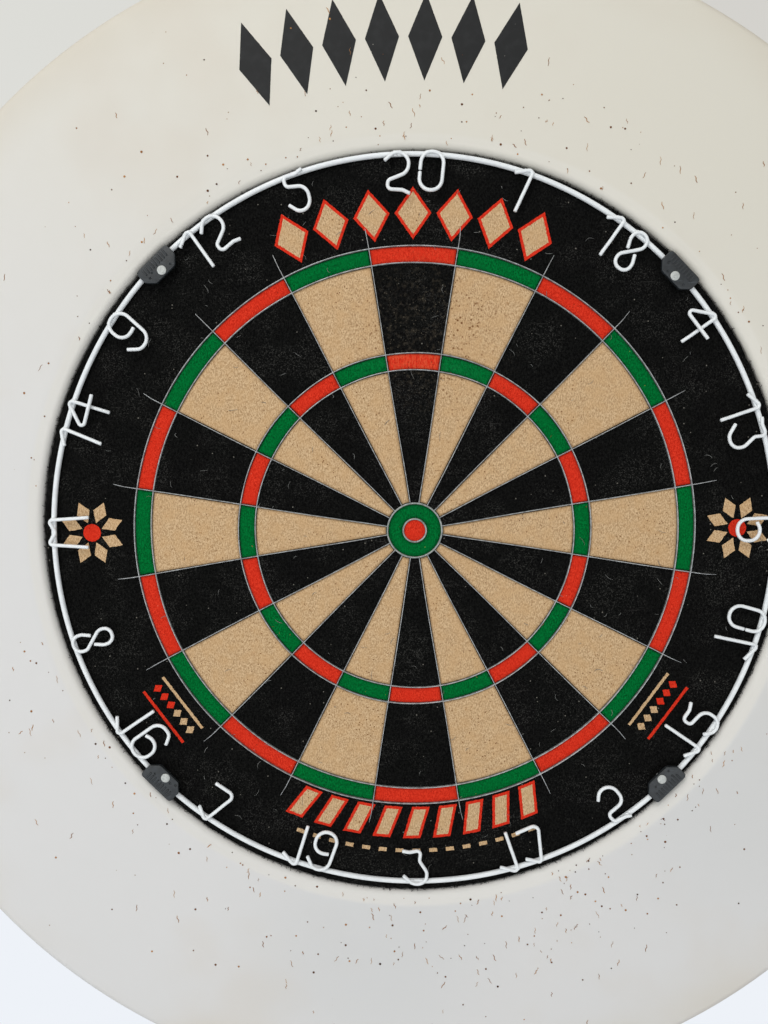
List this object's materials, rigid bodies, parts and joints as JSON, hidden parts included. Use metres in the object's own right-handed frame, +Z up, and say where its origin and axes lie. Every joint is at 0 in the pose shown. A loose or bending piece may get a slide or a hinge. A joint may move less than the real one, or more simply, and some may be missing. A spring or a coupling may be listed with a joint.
{
  "type": "bristle dartboard with surround",
  "caption": "Bristle dartboard with a wire number ring, set in a round foam surround and hung by its centre screw on a slotted wall bracket, with levelling wheels on the back.",
  "frame": {"origin": "on the board's centre line, in the plane of the wall, at the middle of the wall bracket's four screw holes", "axes": "+Z up; -Y out of the wall, the way the face looks; +X to the right as a player sees the board"},
  "size_m": [0.7099, 0.0579, 0.71],
  "materials": {
    "zinc_steel": "satin",
    "black_plastic": "matte",
    "backing_wood": "matte",
    "sisal_black": "matte",
    "sisal_cream": "matte",
    "sisal_red": "matte",
    "sisal_green": "matte",
    "band_steel": "satin",
    "blade_steel": "satin",
    "bull_ring_steel": "satin",
    "white_wire": "gloss",
    "clip_plastic": "satin",
    "pin_metal": "satin",
    "surround_foam": "matte",
    "surround_ink": "matte"
  },
  "bodies": {
    "bracket": {"wall_bracket": "zinc_steel"},
    "hanger": {"hanger_spacer": "black_plastic"},
    "board": {"hanging_screw": "zinc_steel", "backing_board": "backing_wood", "bristle_disc": "sisal_black", "cream_fields": "sisal_cream", "red_fields": "sisal_red", "green_fields": "sisal_green", "border_print_cream": "sisal_cream", "border_print_red": "sisal_red", "steel_band": "band_steel", "radial_blades": "blade_steel", "outer_double_blade": "blade_steel", "inner_double_blade": "blade_steel", "outer_treble_blade": "blade_steel", "inner_treble_blade": "blade_steel", "outer_bull_ring": "bull_ring_steel", "inner_bull_ring": "bull_ring_steel", "clip_pins": "pin_metal", "wheel_holder_top": "black_plastic", "wheel_holder_lower_left": "black_plastic", "wheel_holder_lower_right": "black_plastic", "wheel_screws": "zinc_steel"},
    "number_ring": {"number_ring_wire": "white_wire", "numeral_20": "white_wire", "numeral_1": "white_wire", "numeral_18": "white_wire", "numeral_4": "white_wire", "numeral_13": "white_wire", "numeral_6": "white_wire", "numeral_10": "white_wire", "numeral_15": "white_wire", "numeral_2": "white_wire", "numeral_17": "white_wire", "numeral_3": "white_wire", "numeral_19": "white_wire", "numeral_7": "white_wire", "numeral_16": "white_wire", "numeral_8": "white_wire", "numeral_11": "white_wire", "numeral_14": "white_wire", "numeral_9": "white_wire", "numeral_12": "white_wire", "numeral_5": "white_wire"},
    "clip_upper_left": {"clip_upper_left": "clip_plastic"},
    "clip_upper_right": {"clip_upper_right": "clip_plastic"},
    "clip_lower_left": {"clip_lower_left": "clip_plastic"},
    "clip_lower_right": {"clip_lower_right": "clip_plastic"},
    "surround": {"foam_surround": "surround_foam", "surround_print": "surround_ink"},
    "wheel_top": {"levelling_wheel_top": "black_plastic"},
    "foot_top": {"levelling_foot_top": "black_plastic"},
    "wheel_lower_left": {"levelling_wheel_lower_left": "black_plastic"},
    "foot_lower_left": {"levelling_foot_lower_left": "black_plastic"},
    "wheel_lower_right": {"levelling_wheel_lower_right": "black_plastic"},
    "foot_lower_right": {"levelling_foot_lower_right": "black_plastic"}
  },
  "joints": [
    {"name": "board_lift", "type": "slide", "parent": "bracket", "child": "hanger", "axis": [0, 0, 1], "range_m": [0, 0.035]},
    {"name": "board_turn", "type": "hinge", "parent": "hanger", "child": "board", "pos_m": [0, -0.0375, 0], "axis": [0, -1, 0], "continuous": true},
    {"name": "surround_pull", "type": "slide", "parent": "hanger", "child": "surround", "axis": [0, -1, 0], "range_m": [0, 0.06]},
    {"name": "ring_turn", "type": "hinge", "parent": "board", "child": "number_ring", "pos_m": [-0.0005, -0.05185, 0.0016], "axis": [0, -1, 0], "range_deg": [-0.6, 0.6]},
    {"name": "clip_upper_left_turn", "type": "hinge", "parent": "board", "child": "clip_upper_left", "pos_m": [-0.14902, -0.0548, 0.15594], "axis": [0, -1, 0], "range_deg": [-180, 180]},
    {"name": "clip_upper_right_turn", "type": "hinge", "parent": "board", "child": "clip_upper_right", "pos_m": [0.15464, -0.0548, 0.15038], "axis": [0, -1, 0], "range_deg": [-180, 180]},
    {"name": "clip_lower_left_turn", "type": "hinge", "parent": "board", "child": "clip_lower_left", "pos_m": [-0.15411, -0.0548, -0.15092], "axis": [0, -1, 0], "range_deg": [-180, 180]},
    {"name": "clip_lower_right_turn", "type": "hinge", "parent": "board", "child": "clip_lower_right", "pos_m": [0.15092, -0.0548, -0.15411], "axis": [0, -1, 0], "range_deg": [-180, 180]},
    {"name": "wheel_top_turn", "type": "hinge", "parent": "board", "child": "wheel_top", "pos_m": [0, -0.0075, 0.15], "axis": [0, 1, 0], "range_deg": [0, 263]},
    {"name": "foot_top_slide", "type": "slide", "parent": "board", "child": "foot_top", "axis": [0, 1, 0], "range_m": [-0.0022, 0]},
    {"name": "wheel_lower_left_turn", "type": "hinge", "parent": "board", "child": "wheel_lower_left", "pos_m": [-0.1299, -0.0075, -0.075], "axis": [0, 1, 0], "range_deg": [0, 263]},
    {"name": "foot_lower_left_slide", "type": "slide", "parent": "board", "child": "foot_lower_left", "axis": [0, 1, 0], "range_m": [-0.0022, 0]},
    {"name": "wheel_lower_right_turn", "type": "hinge", "parent": "board", "child": "wheel_lower_right", "pos_m": [0.1299, -0.0075, -0.075], "axis": [0, 1, 0], "range_deg": [0, 263]},
    {"name": "foot_lower_right_slide", "type": "slide", "parent": "board", "child": "foot_lower_right", "axis": [0, 1, 0], "range_m": [-0.0022, 0]}
  ],
  "couplings": [
    {"joint": "foot_top_slide", "follows": "wheel_top_turn", "m_per_rad": -0.00047746},
    {"joint": "foot_lower_left_slide", "follows": "wheel_lower_left_turn", "m_per_rad": -0.00047746},
    {"joint": "foot_lower_right_slide", "follows": "wheel_lower_right_turn", "m_per_rad": -0.00047746}
  ]
}
